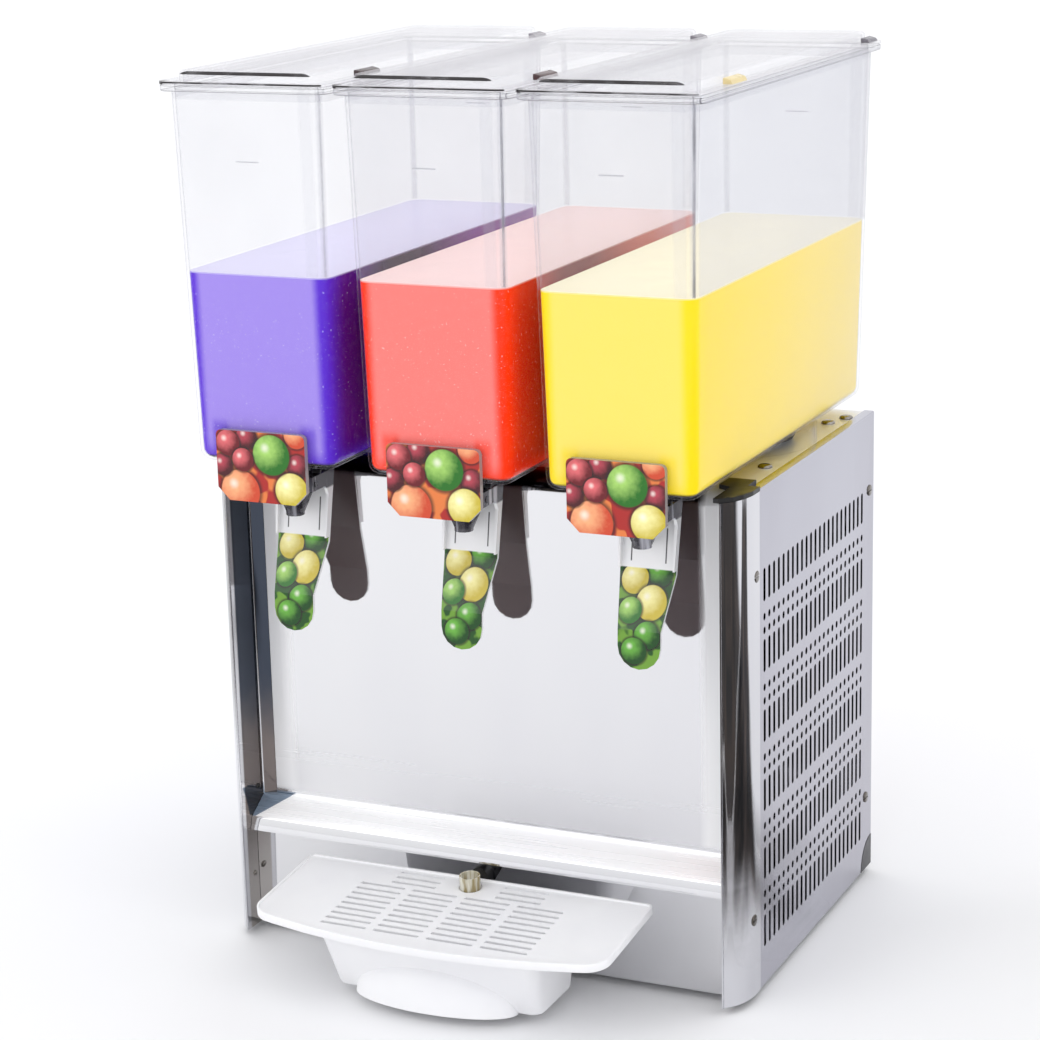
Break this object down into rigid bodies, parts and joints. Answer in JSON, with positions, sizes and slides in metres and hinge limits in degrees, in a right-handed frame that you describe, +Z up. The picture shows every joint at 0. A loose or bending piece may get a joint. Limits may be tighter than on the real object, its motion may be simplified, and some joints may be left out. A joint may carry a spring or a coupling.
{
  "type": "refrigerated juice dispenser",
  "caption": "Counter-top refrigerated juice dispenser: clear lidded bowls over a bent-steel cabinet, push-lever taps and a drip tray.",
  "frame": {"origin": "on the counter, below the middle of the whole object's bounding box", "axes": "+Z up, the taps and the drip tray face -Y, +X to the right of a person who faces the taps"},
  "size_m": [0.43, 0.4534, 0.6853],
  "materials": {
    "mirror_steel": "mirror polished stainless steel",
    "satin_steel": "satin stainless steel",
    "galvanised": "galvanised sheet",
    "black_paint": "black enamel",
    "aluminium": "plain fins",
    "black_plastic": "moulded",
    "dark_plastic": "moulded",
    "white_plastic": "glossy white",
    "clear_plastic": "clear polycarbonate",
    "lever_plastic": "clear above, tinted blade",
    "plate_face": null,
    "rubber": "matte",
    "violet_juice": "cloudy liquid",
    "red_juice": "cloudy liquid",
    "yellow_juice": "cloudy liquid"
  },
  "bodies": {
    "cabinet": {"base_pan": "galvanised", "front_panel": "mirror_steel", "lower_front_panel": "mirror_steel", "tray_hook": "black_plastic", "corner_column_right": "mirror_steel", "corner_column_left": "mirror_steel", "column_cap_right": "black_plastic", "column_cap_left": "black_plastic", "side_panel_right": "satin_steel", "side_panel_left": "satin_steel", "rear_panel": "satin_steel", "rear_base_trim": "dark_plastic", "top_deck": "mirror_steel", "foot_front_left": "rubber", "foot_front_right": "rubber", "foot_rear_left": "rubber", "foot_rear_right": "rubber", "evaporator_dome_left": "satin_steel", "evaporator_dome_middle": "satin_steel", "evaporator_dome_right": "satin_steel", "bowl_seal_left": "rubber", "bowl_seal_middle": "rubber", "bowl_seal_right": "rubber", "stir_motor_rail": "galvanised", "compressor": "black_paint", "condenser": "aluminium", "fan_motor": "galvanised", "power_inlet": "black_plastic"},
    "bowl_unit_left": {"bowl_left": "clear_plastic", "juice_left": "violet_juice", "tap_housing_left": "clear_plastic", "label_plate_left": "plate_face", "valve_spring_left": "satin_steel"},
    "bowl_unit_middle": {"bowl_middle": "clear_plastic", "juice_middle": "red_juice", "tap_housing_middle": "clear_plastic", "label_plate_middle": "plate_face", "valve_spring_middle": "satin_steel"},
    "bowl_unit_right": {"bowl_right": "clear_plastic", "juice_right": "yellow_juice", "tap_housing_right": "clear_plastic", "label_plate_right": "plate_face", "valve_spring_right": "satin_steel"},
    "lid_left": {"lid_left": "clear_plastic"},
    "lid_middle": {"lid_middle": "clear_plastic"},
    "lid_right": {"lid_right": "clear_plastic"},
    "lever_left": {"lever_left": "lever_plastic"},
    "lever_middle": {"lever_middle": "lever_plastic"},
    "lever_right": {"lever_right": "lever_plastic"},
    "plunger_left": {"valve_plunger_left": "dark_plastic"},
    "plunger_middle": {"valve_plunger_middle": "dark_plastic"},
    "plunger_right": {"valve_plunger_right": "dark_plastic"},
    "impeller_left": {"impeller_left": "white_plastic"},
    "impeller_middle": {"impeller_middle": "white_plastic"},
    "impeller_right": {"impeller_right": "white_plastic"},
    "fan": {"condenser_fan": "black_plastic"},
    "tray": {"drip_tray_basin": "white_plastic"},
    "tray_grille": {"drip_tray_grille": "white_plastic"},
    "switch": {"power_switch": "black_plastic"},
    "knob": {"thermostat_knob": "black_plastic"}
  },
  "joints": [
    {"name": "bowl_left_lift", "type": "slide", "parent": "cabinet", "child": "bowl_unit_left", "axis": [0, 0, 1], "range_m": [0, 0.15]},
    {"name": "bowl_middle_lift", "type": "slide", "parent": "cabinet", "child": "bowl_unit_middle", "axis": [0, 0, 1], "range_m": [0, 0.15]},
    {"name": "bowl_right_lift", "type": "slide", "parent": "cabinet", "child": "bowl_unit_right", "axis": [0, 0, 1], "range_m": [0, 0.15]},
    {"name": "lid_left_lift", "type": "slide", "parent": "bowl_unit_left", "child": "lid_left", "axis": [0, 0, 1], "range_m": [0, 0.1]},
    {"name": "lid_middle_lift", "type": "slide", "parent": "bowl_unit_middle", "child": "lid_middle", "axis": [0, 0, 1], "range_m": [0, 0.1]},
    {"name": "lid_right_lift", "type": "slide", "parent": "bowl_unit_right", "child": "lid_right", "axis": [0, 0, 1], "range_m": [0, 0.1]},
    {"name": "lever_left_push", "type": "hinge", "parent": "bowl_unit_left", "child": "lever_left", "pos_m": [-0.1405, -0.1247, 0.378], "axis": [1, 0, 0], "range_deg": [0, 18], "stiffness_Nm_per_rad": 0.4, "springref_deg": -17.19},
    {"name": "lever_middle_push", "type": "hinge", "parent": "bowl_unit_middle", "child": "lever_middle", "pos_m": [0, -0.1247, 0.378], "axis": [1, 0, 0], "range_deg": [0, 18], "stiffness_Nm_per_rad": 0.4, "springref_deg": -17.19},
    {"name": "lever_right_push", "type": "hinge", "parent": "bowl_unit_right", "child": "lever_right", "pos_m": [0.1405, -0.1247, 0.378], "axis": [1, 0, 0], "range_deg": [0, 18], "stiffness_Nm_per_rad": 0.4, "springref_deg": -17.19},
    {"name": "plunger_left_lift", "type": "slide", "parent": "bowl_unit_left", "child": "plunger_left", "axis": [0, 0, 1], "range_m": [0, 0.003], "deforming": ["valve_spring_left"]},
    {"name": "plunger_middle_lift", "type": "slide", "parent": "bowl_unit_middle", "child": "plunger_middle", "axis": [0, 0, 1], "range_m": [0, 0.003], "deforming": ["valve_spring_middle"]},
    {"name": "plunger_right_lift", "type": "slide", "parent": "bowl_unit_right", "child": "plunger_right", "axis": [0, 0, 1], "range_m": [0, 0.003], "deforming": ["valve_spring_right"]},
    {"name": "impeller_left_spin", "type": "hinge", "parent": "cabinet", "child": "impeller_left", "pos_m": [-0.1405, 0.0687, 0.5], "axis": [0, 0, 1], "continuous": true},
    {"name": "impeller_middle_spin", "type": "hinge", "parent": "cabinet", "child": "impeller_middle", "pos_m": [0, 0.0687, 0.5], "axis": [0, 0, 1], "continuous": true},
    {"name": "impeller_right_spin", "type": "hinge", "parent": "cabinet", "child": "impeller_right", "pos_m": [0.1405, 0.0687, 0.5], "axis": [0, 0, 1], "continuous": true},
    {"name": "fan_spin", "type": "hinge", "parent": "cabinet", "child": "fan", "pos_m": [0.135, 0.0553, 0.12], "axis": [1, 0, 0], "continuous": true},
    {"name": "tray_lift", "type": "slide", "parent": "cabinet", "child": "tray", "axis": [0, 0, 1], "range_m": [0, 0.05]},
    {"name": "grille_lift", "type": "slide", "parent": "tray", "child": "tray_grille", "axis": [0, 0, 1], "range_m": [0, 0.04]},
    {"name": "switch_rock", "type": "hinge", "parent": "cabinet", "child": "switch", "pos_m": [-0.07, 0.1897, 0.3], "axis": [1, 0, 0], "range_deg": [-14, 0]},
    {"name": "thermostat_turn", "type": "hinge", "parent": "cabinet", "child": "knob", "pos_m": [-0.01, 0.1937, 0.3], "axis": [0, 1, 0], "range_deg": [0, 270]}
  ],
  "couplings": [
    {"joint": "plunger_left_lift", "follows": "lever_left_push", "m_per_rad": 0.0092},
    {"joint": "plunger_middle_lift", "follows": "lever_middle_push", "m_per_rad": 0.0092},
    {"joint": "plunger_right_lift", "follows": "lever_right_push", "m_per_rad": 0.0092}
  ]
}
